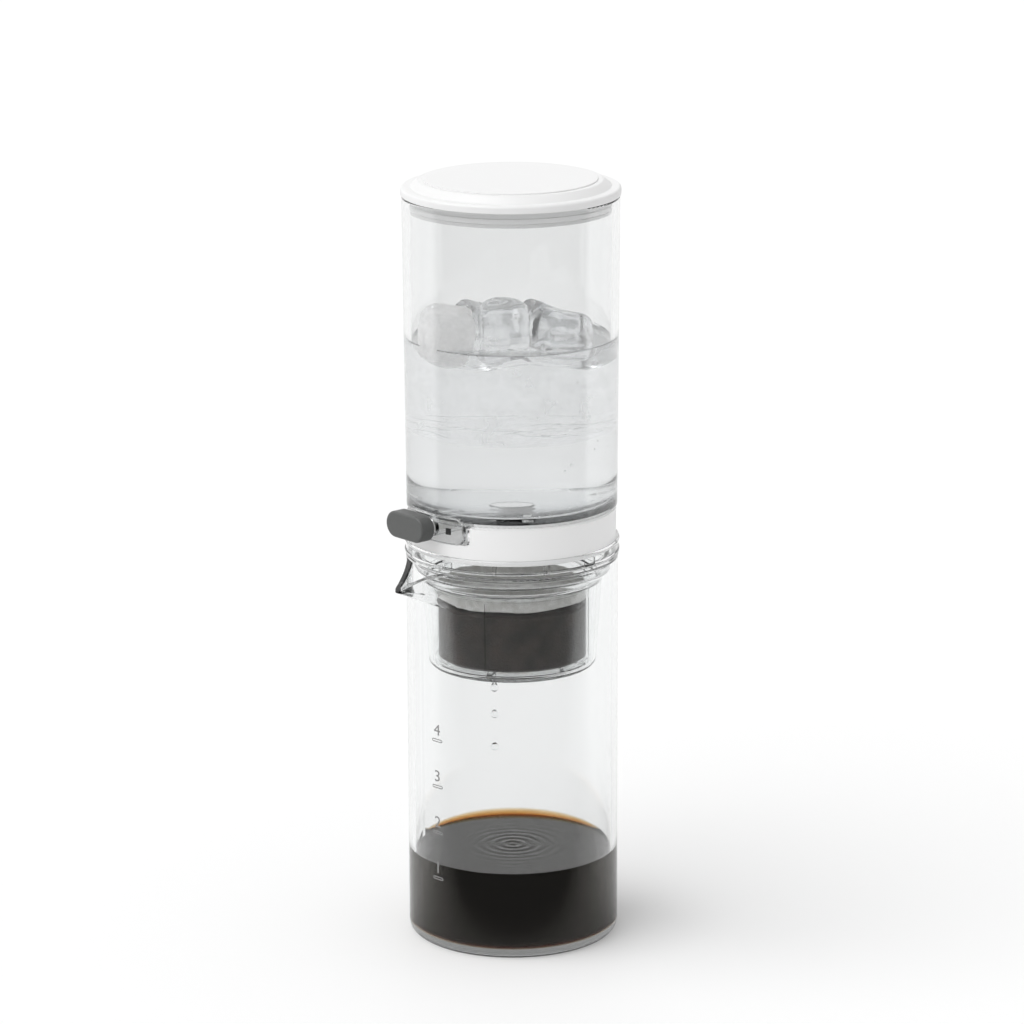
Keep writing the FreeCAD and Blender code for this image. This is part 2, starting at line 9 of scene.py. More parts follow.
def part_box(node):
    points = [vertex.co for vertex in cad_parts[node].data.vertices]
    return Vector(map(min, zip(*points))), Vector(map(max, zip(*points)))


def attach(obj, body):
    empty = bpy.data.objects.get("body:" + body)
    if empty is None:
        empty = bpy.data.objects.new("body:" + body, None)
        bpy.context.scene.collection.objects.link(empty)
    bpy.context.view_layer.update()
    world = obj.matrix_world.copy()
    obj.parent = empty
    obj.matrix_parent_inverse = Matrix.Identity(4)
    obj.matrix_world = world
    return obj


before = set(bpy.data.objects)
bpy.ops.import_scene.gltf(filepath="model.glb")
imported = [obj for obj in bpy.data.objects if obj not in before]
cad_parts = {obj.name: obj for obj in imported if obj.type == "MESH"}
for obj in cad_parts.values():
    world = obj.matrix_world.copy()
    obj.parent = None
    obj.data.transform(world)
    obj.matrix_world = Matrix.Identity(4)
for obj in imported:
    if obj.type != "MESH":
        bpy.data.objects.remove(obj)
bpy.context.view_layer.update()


# The carafe: one blown borosilicate jug with a thick foot, fire-polished rim
# and pulled spout. It is clear, so its look is all refraction and edge lines.
def new_material(name):
    """Blank material, with its nodes and its links."""
    material = bpy.data.materials.new(name)
    material.use_nodes = True
    return material, material.node_tree.nodes, material.node_tree.links


def let_light_pass(nodes, links, surface, shade):
    """Keeps a clear surface for the eye, and lets the lamps' light go straight through it."""
    passing = nodes.new("ShaderNodeBsdfTransparent")
    passing.inputs["Color"].default_value = (shade, shade, shade, 1)
    path = nodes.new("ShaderNodeLightPath")
    either = nodes.new("ShaderNodeMath")
    either.operation = "MAXIMUM"
    mix = nodes.new("ShaderNodeMixShader")
    links.new(path.outputs["Is Shadow Ray"], either.inputs[0])
    links.new(path.outputs["Is Diffuse Ray"], either.inputs[1])
    links.new(either.outputs[0], mix.inputs["Fac"])
    links.new(surface.outputs[0], mix.inputs[1])
    links.new(passing.outputs[0], mix.inputs[2])
    links.new(mix.outputs[0], nodes["Material Output"].inputs["Surface"])


def clear_material(name, ior, tint, shadow, roughness=0.0, depth=0.0):
    """Clear solid that refracts for the eye and greys with its depth."""
    material, nodes, links = new_material(name)
    shell = nodes["Principled BSDF"]
    shell.inputs["Base Color"].default_value = (*tint, 1)
    shell.inputs["Roughness"].default_value = roughness
    shell.inputs["IOR"].default_value = ior
    shell.inputs["Transmission Weight"].default_value = 1
    let_light_pass(nodes, links, shell, shadow)
    if depth > 0:
        grey = nodes.new("ShaderNodeVolumeAbsorption")
        grey.inputs["Color"].default_value = (0.48, 0.5, 0.5, 1)
        grey.inputs["Density"].default_value = depth
        links.new(grey.outputs[0], nodes["Material Output"].inputs["Volume"])
    return material


def dress(node, material):
    """Gives a CAD node's own mesh one material in all its slots."""
    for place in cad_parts[node].material_slots:
        place.material = material


glass = clear_material("carafe glass", ior=1.47, tint=(0.985, 0.99, 0.99), shadow=0.93, depth=14)
dress("carafe", glass)
glass_radius = 0.044
glass_wall = 0.0028


# The cup marks: digits 4 to 1 over small outlined bars, baked on the outside
# of the glass in grey ink, a few degrees beside the valve's direction.
def grey_ink():
    """Thin grey print with a fine speckle."""
    material, nodes, links = new_material("grey baked ink")
    print_grey = nodes["Principled BSDF"]
    print_grey.inputs["Roughness"].default_value = 0.5
    speckle = nodes.new("ShaderNodeTexNoise")
    speckle.inputs["Scale"].default_value = 4000
    shades = nodes.new("ShaderNodeValToRGB")
    shades.color_ramp.elements[0].color = (0.2, 0.2, 0.2, 1)
    shades.color_ramp.elements[1].color = (0.3, 0.3, 0.3, 1)
    links.new(speckle.outputs["Fac"], shades.inputs["Fac"])
    links.new(shades.outputs["Color"], print_grey.inputs["Base Color"])
    return material


mark_heights = [0.0318, 0.0518, 0.0718, 0.0918]
mark_azimuth = math.radians(180 + 3.7)
digit_height = 0.0048
digit_share_of_size = 0.7
digit_width_share = 1.15
digit_above_bar = 0.0023
bar_size = (0.0060, 0.0014)
bar_line = 0.0004
bar_end_steps = 8
ink_thickness = 0.00004
ink_gap = 0.00001


def wrapped(mesh, height):
    """Bends a flat mark round the glass: x runs along the wall, y up, z out of it."""
    for point in mesh.vertices:
        azimuth = mark_azimuth + point.co.x / glass_radius
        reach = glass_radius + ink_gap + point.co.z
        rise = point.co.y + height
        point.co = Vector((reach * math.cos(azimuth), reach * math.sin(azimuth), rise))


def mark_digit(text):
    """Flat solid digit, centred on x and standing on y = 0."""
    curve = bpy.data.curves.new("digit " + text, "FONT")
    curve.body = text
    curve.align_x = "CENTER"
    curve.size = digit_height / digit_share_of_size
    curve.extrude = ink_thickness / 2
    holder = bpy.data.objects.new("digit " + text, curve)
    bpy.context.scene.collection.objects.link(holder)
    bpy.context.view_layer.update()
    state = bpy.context.evaluated_depsgraph_get()
    shape = bpy.data.meshes.new_from_object(holder.evaluated_get(state))
    bpy.data.objects.remove(holder)
    for point in shape.vertices:
        point.co.x *= digit_width_share
        point.co.z += ink_thickness / 2
    return shape


def rounded_loop(form, width, height):
    """Closed loop of a bar with round ends."""
    end = height / 2
    middle = width / 2 - end
    points = []
    for side in (1, -1):
        for step in range(bar_end_steps + 1):
            angle = math.radians(-90 + 180 / bar_end_steps * step)
            reach = middle + end * math.cos(angle)
            points.append(form.verts.new((side * reach, side * end * math.sin(angle), 0)))
    following = points[1:] + points[:1]
    return [form.edges.new(pair) for pair in zip(points, following)]


def mark_bar():
    """Rounded outline with an open middle."""
    form = bmesh.new()
    outer = rounded_loop(form, bar_size[0], bar_size[1])
    inner = rounded_loop(form, bar_size[0] - 2 * bar_line, bar_size[1] - 2 * bar_line)
    bmesh.ops.bridge_loops(form, edges=outer + inner)
    walls = bmesh.ops.extrude_face_region(form, geom=form.faces[:])
    lifted = [item for item in walls["geom"] if isinstance(item, bmesh.types.BMVert)]
    bmesh.ops.translate(form, vec=(0, 0, ink_thickness), verts=lifted)
    bmesh.ops.recalc_face_normals(form, faces=form.faces[:])
    shape = bpy.data.meshes.new("bar")
    form.to_mesh(shape)
    form.free()
    return shape


ink = grey_ink()
for count, height in enumerate(mark_heights, start=1):
    for kind, shape, rise in (("digit", mark_digit(str(count)), digit_above_bar), ("bar", mark_bar(), 0)):
        wrapped(shape, height + rise)
        shape.materials.clear()
        shape.materials.append(ink)
        mark = bpy.data.objects.new(f"cup_mark_{kind}_{count}", shape)
        bpy.context.scene.collection.objects.link(mark)
        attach(mark, "carafe")


# The brewed coffee: a dark liquid that fills the foot of the carafe, creeps up
# the glass at its edge and carries rings from the drops that fall on it.
weld_distance = 0.00001
sharp_edge = math.radians(32)
foot_steps = 6


def smooth_piece(form, name, material):
    """Turns a finished form into a smooth-shaded object in one material."""
    shape = bpy.data.meshes.new(name)
    form.to_mesh(shape)
    form.free()
    for face in shape.polygons:
        face.use_smooth = True
    shape.materials.append(material)
    piece = bpy.data.objects.new(name, shape)
    bpy.context.scene.collection.objects.link(piece)
    return piece


def spun(name, profile, steps, body, material):
    """Piece turned round the axis from a list of (radius, height) points."""
    form = bmesh.new()
    points = [form.verts.new((radius, 0, height)) for radius, height in profile]
    edges = [form.edges.new(pair) for pair in zip(points, points[1:])]
    bmesh.ops.spin(form, geom=points + edges, axis=(0, 0, 1), angle=2 * math.pi, steps=steps,
                   use_merge=True)
    bmesh.ops.remove_doubles(form, verts=form.verts[:], dist=weld_distance)
    bmesh.ops.recalc_face_normals(form, faces=form.faces[:])
    piece = smooth_piece(form, name, material)
    piece.data.set_sharp_from_angle(angle=sharp_edge)
    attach(piece, body)
    return piece


def rounded_foot(radius, low, bend):
    """Profile of a floor that curves up into its wall."""
    profile = [(0, low)]
    for step in range(foot_steps + 1):
        angle = math.radians(90 / foot_steps * step)
        profile.append((radius - bend + bend * math.sin(angle), low + bend - bend * math.cos(angle)))
    return profile


def coffee_material():
    """Clear liquid that browns within a millimetre and is black in depth."""
    material, nodes, links = new_material("brewed coffee")
    liquid = nodes["Principled BSDF"]
    liquid.inputs["Base Color"].default_value = (1, 1, 1, 1)
    liquid.inputs["Roughness"].default_value = 0.0
    liquid.inputs["IOR"].default_value = 1.34
    liquid.inputs["Transmission Weight"].default_value = 1
    liquid.inputs["Specular IOR Level"].default_value = 0.25
    liquid.inputs["Specular Tint"].default_value = (1, 0.9, 0.8, 1)
    depth = nodes.new("ShaderNodeVolumeAbsorption")
    depth.inputs["Color"].default_value = (0.8, 0.52, 0.02, 1)
    depth.inputs["Density"].default_value = 2400
    links.new(depth.outputs[0], nodes["Material Output"].inputs["Volume"])
    return material


coffee_level = 0.0366
coffee_floor = 0.0036
coffee_overlap = 0.00006
coffee_radius = glass_radius - glass_wall + coffee_overlap
surface_steps = 90
creep_height = 0.0007
creep_width = 0.0014
creep_power = 2.5
film_height = 0.0019
film_width = 0.0013
film_power = 1.5
foot_round = 0.003
ring_height = 0.00015
ring_pitch = 0.0042
ring_reach = 0.016


def ripple(radius):
    """Height of the rings that a fallen drop leaves, dying away outwards."""
    fade = math.exp(-((radius / ring_reach) ** 2))
    return ring_height * fade * math.cos(2 * math.pi * radius / ring_pitch)


def coffee_profile():
    """Closed outline: the rounded foot, then the surface from the wall to the axis."""
    surface = []
    for step in range(surface_steps + 1):
        radius = coffee_radius * math.sin(math.pi / 2 * step / surface_steps)
        edge = max(0, (radius - coffee_radius + creep_width) / creep_width)
        surface.append((radius, coffee_level + ripple(radius) + creep_height * edge ** creep_power))
    return rounded_foot(coffee_radius, coffee_floor - coffee_overlap, foot_round) + surface[::-1]


coffee = spun("brewed_coffee", coffee_profile(), steps=160, body="carafe",
              material=coffee_material())
back_azimuth = math.radians(139)
back_of_jug = Vector((math.sin(back_azimuth), -math.cos(back_azimuth), 0))
for point in coffee.data.vertices:
    flat = Vector((point.co.x, point.co.y, 0))
    edge = max(0, (flat.length - coffee_radius + film_width) / film_width)
    if edge > 0 and point.co.z > coffee_level:
        behind = max(0, flat.normalized().dot(back_of_jug))
        point.co.z += film_height * behind ** film_power * edge


# The dripper: collar, funnel and cup in one clear moulding, with a soft clear
# silicone ring round its plug.
clear_plastic = clear_material("clear copolyester", ior=1.53, tint=(0.985, 0.99, 0.99), shadow=0.95,
                               depth=10)
dress("dripper_body", clear_plastic)
silicone = clear_material("clear silicone", ior=1.41, tint=(0.985, 0.985, 0.985), shadow=0.95,
                          roughness=0.06)
dress("collar_gasket", silicone)


# The strainer basket: a clear plastic frame that grips a fine woven steel
# sheet at its side and its floor.
thin_plastic = clear_material("thin clear plastic", ior=1.12, tint=(0.98, 0.985, 0.985), shadow=0.95)
dress("strainer_frame", thin_plastic)


def woven_steel():
    """Wire cloth so fine that it shows only as a light haze, uneven in patches."""
    material, nodes, links = new_material("woven steel")
    wire = nodes["Principled BSDF"]
    wire.inputs["Base Color"].default_value = (0.55, 0.54, 0.52, 1)
    wire.inputs["Metallic"].default_value = 0.8
    wire.inputs["Roughness"].default_value = 0.4
    cloud = nodes.new("ShaderNodeTexNoise")
    cloud.inputs["Scale"].default_value = 900
    threshold = nodes.new("ShaderNodeMapRange")
    threshold.inputs["From Min"].default_value = 0.45
    threshold.inputs["From Max"].default_value = 0.75
    threshold.inputs["To Min"].default_value = 0.03
    threshold.inputs["To Max"].default_value = 0.10
    open_air = nodes.new("ShaderNodeBsdfTransparent")
    mix = nodes.new("ShaderNodeMixShader")
    links.new(cloud.outputs["Fac"], threshold.inputs["Value"])
    links.new(threshold.outputs[0], mix.inputs["Fac"])
    links.new(open_air.outputs[0], mix.inputs[1])
    links.new(wire.outputs[0], mix.inputs[2])
    links.new(mix.outputs[0], nodes["Material Output"].inputs["Surface"])
    return material


mesh_steel = woven_steel()
dress("strainer_side_mesh", mesh_steel)
dress("strainer_floor_mesh", mesh_steel)


# The coffee bed: wet coarse grounds pressed into the basket in dark and lighter
# blotches, with an uneven top under a disc of wet filter paper.
def grounds_material():
    """Near-black wet grains, rough to the touch, with a weak wet shine."""
    material, nodes, links = new_material("wet grounds")
    wet = nodes["Principled BSDF"]
    place = nodes.new("ShaderNodeTexCoord")
    grain = nodes.new("ShaderNodeTexVoronoi")
    grain.inputs["Scale"].default_value = 1100
    blotch = nodes.new("ShaderNodeTexNoise")
    blotch.inputs["Scale"].default_value = 120
    blotch.inputs["Detail"].default_value = 6
    shades = nodes.new("ShaderNodeValToRGB")
    shades.color_ramp.elements[0].position = 0.35
    shades.color_ramp.elements[0].color = (0.014, 0.009, 0.006, 1)
    shades.color_ramp.elements[1].position = 0.75
    shades.color_ramp.elements[1].color = (0.06, 0.042, 0.032, 1)
    bump = nodes.new("ShaderNodeBump")
    bump.inputs["Strength"].default_value = 0.6
    bump.inputs["Distance"].default_value = 0.0006
    links.new(place.outputs["Object"], grain.inputs["Vector"])
    links.new(place.outputs["Object"], blotch.inputs["Vector"])
    links.new(blotch.outputs["Fac"], shades.inputs["Fac"])
    links.new(shades.outputs["Color"], wet.inputs["Base Color"])
    links.new(grain.outputs["Distance"], bump.inputs["Height"])
    links.new(bump.outputs["Normal"], wet.inputs["Normal"])
    wet.inputs["Roughness"].default_value = 0.42
    wet.inputs["Coat Weight"].default_value = 0.25
    wet.inputs["Coat Roughness"].default_value = 0.15
    return material


mesh_gap = 0.0006
floor_gap = 0.0001
bed_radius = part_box("strainer_side_mesh")[1].x - mesh_gap
bed_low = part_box("strainer_floor_mesh")[1].z + floor_gap
bed_high = 0.1460
bed_steps = 22
bed_floor_share = 0.94
bed_foot = 0.0014
bed_shoulder = 0.0010
bed_top_depth = 0.0015
bed_side_share = 0.9
bed_sink = 0.0008
bed_lumps = ((70, 0.0011), (260, 0.0007))
grain_least = 0.00012
grain_lumps = ((500, 0.00022),)


def lumps(spot, layers):
    """Uneven height at a spot, summed from layers of (lumps to the metre, height)."""
    return sum(noise.noise(spot * pitch) * height for pitch, height in layers)


def bed_profile():
    """Closed outline: floor, side and top of the bed."""
    shares = [step / bed_steps for step in range(1, bed_steps + 1)]
    side_height = bed_high - bed_low - bed_foot - bed_shoulder
    profile = [(0, bed_low), (bed_radius * bed_floor_share, bed_low), (bed_radius, bed_low + bed_foot)]
    profile += [(bed_radius, bed_low + bed_foot + side_height * share) for share in shares]
    profile += [(bed_radius * (1 - share), bed_high) for share in shares]
    return profile


bed = spun("coffee_grounds", bed_profile(), steps=150, body="strainer",
           material=grounds_material())
for point in bed.data.vertices:
    spot = point.co.copy()
    reach = math.hypot(spot.x, spot.y)
    if spot.z > bed_high - bed_top_depth:
        point.co.z += lumps(spot, bed_lumps) - bed_sink
    elif reach > bed_radius * bed_side_share:
        inward = grain_least + abs(lumps(spot, grain_lumps))
        point.co.x *= 1 - inward / reach
        point.co.y *= 1 - inward / reach


# The wet filter paper: a thin crinkled disc on the bed, shiny with water, its
# edge standing up against the strainer's side.
def paper_material():
    """White fibres under a film of water."""
    material, nodes, links = new_material("wet filter paper")
    paper = nodes["Principled BSDF"]
    place = nodes.new("ShaderNodeTexCoord")
    fibre = nodes.new("ShaderNodeTexNoise")
    fibre.inputs["Scale"].default_value = 320
    fibre.inputs["Detail"].default_value = 8
    shades = nodes.new("ShaderNodeValToRGB")
    shades.color_ramp.elements[0].position = 0.3
    shades.color_ramp.elements[0].color = (0.72, 0.71, 0.68, 1)
    shades.color_ramp.elements[1].position = 0.7
    shades.color_ramp.elements[1].color = (0.95, 0.95, 0.93, 1)
    bump = nodes.new("ShaderNodeBump")
    bump.inputs["Strength"].default_value = 0.5
    bump.inputs["Distance"].default_value = 0.0008
    links.new(place.outputs["Object"], fibre.inputs["Vector"])
    links.new(fibre.outputs["Fac"], shades.inputs["Fac"])
    links.new(shades.outputs["Color"], paper.inputs["Base Color"])
    links.new(fibre.outputs["Fac"], bump.inputs["Height"])
    links.new(bump.outputs["Normal"], paper.inputs["Normal"])
    paper.inputs["Roughness"].default_value = 0.12
    paper.inputs["Transmission Weight"].default_value = 0.1
    paper.inputs["Coat Weight"].default_value = 1
    paper.inputs["Coat Roughness"].default_value = 0.03
    return material


paper_radius = bed_radius - 0.0002
paper_low = bed_high + 0.0008
paper_bend = 0.0008
paper_rise = 0.0040
paper_thickness = 0.00025
paper_steps = 24
edge_steps = 7
paper_lumps = ((90, 0.0007), (300, 0.0003))
paper_creases = ((240, 0.0005),)


def paper_profile():
    """Flat disc whose edge stands up against the strainer's side."""
    flat = paper_radius - paper_bend
    profile = [(flat * step / paper_steps, paper_low) for step in range(paper_steps + 1)]
    for turn in (30, 60, 90):
        angle = math.radians(turn)
        rise = paper_bend * (1 - math.cos(angle))
        profile.append((flat + paper_bend * math.sin(angle), paper_low + rise))
    for step in range(1, edge_steps + 1):
        profile.append((paper_radius, paper_low + paper_bend + paper_rise * step / edge_steps))
    return profile


paper = spun("filter_paper", paper_profile(), steps=120, body="strainer",
             material=paper_material())
for point in paper.data.vertices:
    spot = point.co.copy()
    point.co.z += lumps(spot, paper_lumps)
    reach = math.hypot(spot.x, spot.y)
    inward = abs(lumps(spot, paper_creases)) * min(1, reach / paper_radius)
    point.co.x *= 1 - inward / paper_radius
    point.co.y *= 1 - inward / paper_radius
thicken = paper.modifiers.new("thickness", "SOLIDIFY")
thicken.thickness = paper_thickness
thicken.offset = 1


# The drops: three clear beads below a drain hole of the cup. One still hangs,
# drawn out towards the hole, and two are falling.
water_look = clear_material("clear water", ior=1.333, tint=(0.99, 0.995, 1.0), shadow=0.95)
drop_place = Vector((-0.0233, -0.0155, 0))
cup_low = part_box("dripper_body")[0].z
drop_slimming = 0.45
most_slimming = 0.8


def water_drop(name, radius, below, stretch):
    """Ball of water below the cup, drawn out and slimmed towards its top."""
    form = bmesh.new()
    bmesh.ops.create_uvsphere(form, u_segments=24, v_segments=16, radius=radius)
    for point in form.verts:
        above = max(0, point.co.z / radius)
        pull = 1 + stretch * above ** 2
        slim = 1 - min(most_slimming, stretch * drop_slimming) * above ** 2
        point.co = Vector((point.co.x * slim, point.co.y * slim, point.co.z * pull))
    bmesh.ops.translate(form, vec=drop_place + Vector((0, 0, cup_low - below)), verts=form.verts[:])
    piece = smooth_piece(form, name, water_look)
    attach(piece, "dripper")


water_drop("hanging_drop", radius=0.0017, below=0.0036, stretch=1.15)
water_drop("falling_drop_1", radius=0.0016, below=0.0150, stretch=0.25)
water_drop("falling_drop_2", radius=0.0016, below=0.0290, stretch=0.1)


# The tank: a tall clear cup in a slightly greyer plastic than the dripper's,
# with its outlet in the floor. A fine screen lies over the outlet and a silicone
# ring below it, and the tube under them and the base's screws are steel.
tank_plastic = clear_material("tank copolyester", ior=1.53, tint=(0.945, 0.95, 0.95), shadow=0.95,
                              depth=12)
dress("tank", tank_plastic)
dress("outlet_gasket", silicone)


steel_swing = 0.3


def drawn_steel(name, roughness):
    """Bright steel whose gloss varies finely."""
    material, nodes, links = new_material(name)
    steel = nodes["Principled BSDF"]
    steel.inputs["Metallic"].default_value = 1
    steel.inputs["Base Color"].default_value = (0.7, 0.7, 0.71, 1)
    grain = nodes.new("ShaderNodeTexNoise")
    grain.inputs["Scale"].default_value = 2500
    spread = nodes.new("ShaderNodeMapRange")
    spread.inputs["To Min"].default_value = roughness * (1 - steel_swing)
    spread.inputs["To Max"].default_value = roughness * (1 + steel_swing)
    links.new(grain.outputs["Fac"], spread.inputs["Value"])
    links.new(spread.outputs[0], steel.inputs["Roughness"])
    return material


steel = drawn_steel("drawn steel", roughness=0.25)
dress("outlet_screen", mesh_steel)
dress("drip_nozzle", steel)
dress("base_screws", steel)


# The water: it fills the tank to just under the tops of the ice and wets the
# wall, with a fine line where its surface meets the plastic.
tank_floor = 0.1885
tank_wall = 0.003
tank_foot_radius = 0.0437
tank_top_radius = 0.0447
tank_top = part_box("tank")[1].z
water_level = 0.2562
wall_overlap = 0.00006
tank_round = 0.003
water_edge = ((0, 0.0008), (0.0006, 0.0002), (0.0018, 0))


def tank_inside(height):
    """Radius of the tank's inner wall at a height."""
    share = (height - tank_floor) / (tank_top - tank_floor)
    return tank_foot_radius - tank_wall + (tank_top_radius - tank_foot_radius) * share


def water_profile():
    """Closed outline: the rounded foot, the edge that creeps up the wall, and the surface."""
    profile = rounded_foot(tank_inside(tank_floor) + wall_overlap, tank_floor - wall_overlap, tank_round)
    top = tank_inside(water_level) + wall_overlap
    profile += [(top - inward, water_level + rise) for inward, rise in water_edge]
    return profile + [(top / 2, water_level), (0, water_level)]


spun("tank_water", water_profile(), steps=128, body="tank", material=water_look)


# The ice: rounded cubes with melted faces. Three stand out of the water at the
# front and two lie lower behind them.
def ice_material(name, ior, cloud_low, cloud_high, white):
    """Clear ice with a white cloud in it, which lets the lamps' light pass."""
    material, nodes, links = new_material(name)
    clear = nodes["Principled BSDF"]
    clear.inputs["Base Color"].default_value = (0.985, 0.99, 0.995, 1)
    clear.inputs["Transmission Weight"].default_value = 1
    clear.inputs["IOR"].default_value = ior
    clear.inputs["Roughness"].default_value = 0.02
    place = nodes.new("ShaderNodeTexCoord")
    cloud = nodes.new("ShaderNodeTexNoise")
    cloud.inputs["Scale"].default_value = 75
    cloud.inputs["Detail"].default_value = 5
    amount = nodes.new("ShaderNodeMapRange")
    amount.inputs["From Min"].default_value = 0.42
    amount.inputs["From Max"].default_value = 0.68
    amount.inputs["To Min"].default_value = cloud_low
    amount.inputs["To Max"].default_value = cloud_high
    glow = nodes.new("ShaderNodeBsdfTranslucent")
    glow.inputs["Color"].default_value = (white, white, white, 1)
    skin = nodes.new("ShaderNodeBsdfDiffuse")
    skin.inputs["Color"].default_value = (white, white, white, 1)
    frost = nodes.new("ShaderNodeMixShader")
    frost.inputs["Fac"].default_value = ice_skin_share
    body = nodes.new("ShaderNodeMixShader")
    links.new(glow.outputs[0], frost.inputs[1])
    links.new(skin.outputs[0], frost.inputs[2])
    links.new(place.outputs["Object"], cloud.inputs["Vector"])
    links.new(cloud.outputs["Fac"], amount.inputs["Value"])
    links.new(amount.outputs[0], body.inputs["Fac"])
    links.new(clear.outputs[0], body.inputs[1])
    links.new(frost.outputs[0], body.inputs[2])
    let_light_pass(nodes, links, body, ice_shadow)
    return material


ice_shadow = 0.96
ice_skin_share = 0.6
bevel_share = 0.22
bulges = ((1.7, 0.16), (5, 0.05))
seed_steps = (3.1, 1.7, 2.3)
camera_azimuth = math.radians(-41)
to_camera = Vector((math.sin(camera_azimuth), -math.cos(camera_azimuth), 0))
camera_right = Vector((math.cos(camera_azimuth), math.sin(camera_azimuth), 0))


def seen_from_front(right, near, height):
    """Point given as the photograph shows it: right, towards the eye, up."""
    return camera_right * right + to_camera * near + Vector((0, 0, height))


def ice_cube(name, material, size, place, turn, seed):
    """Bevelled cube whose faces bulge unevenly, turned about x, then y, then z."""
    form = bmesh.new()
    bmesh.ops.create_cube(form, size=1)
    bmesh.ops.bevel(form, geom=form.edges[:], offset=bevel_share, offset_type="OFFSET",
                    affect="EDGES", segments=4, profile=0.5, material=-1)
    bmesh.ops.subdivide_edges(form, edges=form.edges[:], cuts=2, use_grid_fill=True)
    shift = Vector([seed * step for step in seed_steps])
    for point in form.verts:
        point.co *= sum((noise.noise(point.co * pitch + shift) * share for pitch, share in bulges), 1)
    bmesh.ops.scale(form, vec=size, verts=form.verts[:])
    turns = [Matrix.Rotation(angle, 4, axis) for angle, axis in zip(turn, "XYZ")]
    rotation = turns[2] @ turns[1] @ turns[0]
    bmesh.ops.transform(form, matrix=Matrix.Translation(place) @ rotation, verts=form.verts[:])
    piece = smooth_piece(form, name, material)
    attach(piece, "tank")


dry_ice = ice_material("ice above water", ior=1.31, cloud_low=0.0, cloud_high=0.3, white=0.97)
white_ice = ice_material("cloudy ice above water", ior=1.31, cloud_low=0.5, cloud_high=0.9, white=0.98)

# Each cube: its ice, its place as seen from the front, its size and its turn.
ice_places = [
    (white_ice, (-0.0255, 0.0185, 0.2608), (0.020, 0.019, 0.021), (0.2, 0.12, -0.45)),
    (dry_ice, (-0.0030, 0.0195, 0.2630), (0.019, 0.019, 0.022), (0.06, -0.05, -0.62)),
    (dry_ice, (0.0195, 0.0180, 0.2610), (0.022, 0.019, 0.019), (-0.12, 0.22, -0.2)),
    (dry_ice, (-0.0130, -0.0150, 0.2545), (0.024, 0.023, 0.022), (0.4, 0.2, 0.1)),
    (dry_ice, (0.0150, -0.0160, 0.2540), (0.024, 0.024, 0.022), (0.1, 0.4, 0.4)),
]
for number, (material, place, size, turn) in enumerate(ice_places, start=1):
    ice_cube(f"ice_cube_{number}", material, size, seen_from_front(*place), turn, number)


# The ice slush: a lumpy cloudy layer that the cubes melt into. Its lower edge
# draws the fine line round the wall about a third of the way up the tank.
slush_low = 0.2190
slush_high = 0.2520
slush_gap = 0.0004
slush_steps = 26
slush_side_steps = 14
calm_radius = 0.038
calm_width = 0.006
slush_skin = 0.001
slush_lumps = ((110, 0.0016), (45, 0.0030))
slush_ripples = ((220, 0.0002),)


def slush_profile():
    """Closed outline: underside, side and top of the layer."""
    outside = tank_inside(slush_low) - slush_gap
    across = [step / slush_steps for step in range(1, slush_steps + 1)]
    upward = [step / slush_side_steps for step in range(1, slush_side_steps + 1)]
    profile = [(0, slush_low)] + [(outside * share, slush_low) for share in across]
    profile += [(outside, slush_low + (slush_high - slush_low) * share) for share in upward]
    return profile + [(outside * (1 - share), slush_high) for share in across]


slush_ice = ice_material("slush", ior=1.004, cloud_low=0.08, cloud_high=0.3, white=0.98)
slush = spun("ice_slush", slush_profile(), steps=144, body="tank", material=slush_ice)
for point in slush.data.vertices:
    spot = point.co.copy()
    inside = min(1, max(0, (calm_radius - math.hypot(spot.x, spot.y)) / calm_width))
    swell = lumps(spot, slush_lumps)
    if spot.z > slush_high - slush_skin:
        point.co.z += swell
    elif spot.z < slush_low + slush_skin:
        point.co.z += max(0, swell) * inside + lumps(spot, slush_ripples)


# The bubbles: small beads of air on the wall and the floor of the tank, most
# of them on the side away from the valve.
bubble_count = 46
bubble_gap = 0.0002
bubble_radii = (0.00025, 0.0006)
floor_bubble_spread = (0.75, 0.22)
floor_bubble_rise = (0.0004, 0.004)
wall_bubble_spread = (0.85, 0.35)
wall_bubble_heights = (0.205, 0.246)
bubbles = random.Random(7)
form = bmesh.new()
for bead in range(bubble_count):
    radius = bubbles.uniform(*bubble_radii)
    if bead % 3 == 0:
        angle = bubbles.gauss(*floor_bubble_spread)
        height = tank_floor + radius + bubbles.uniform(*floor_bubble_rise)
    else:
        angle = bubbles.gauss(*wall_bubble_spread)
        height = bubbles.uniform(*wall_bubble_heights)
    reach = tank_inside(height) - radius - bubble_gap
    centre = seen_from_front(reach * math.sin(angle), reach * math.cos(angle), height)
    bmesh.ops.create_icosphere(form, subdivisions=2, radius=radius, matrix=Matrix.Translation(centre))
air = clear_material("air bubble", ior=1.25, tint=(1, 1, 1), shadow=0.97)
piece = smooth_piece(form, "water_bubbles", air)
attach(piece, "tank")


# The white base cover under the tank: a satin moulding that hides the outlet
# and is notched for the valve's clear pad.
grain_swing = 0.06


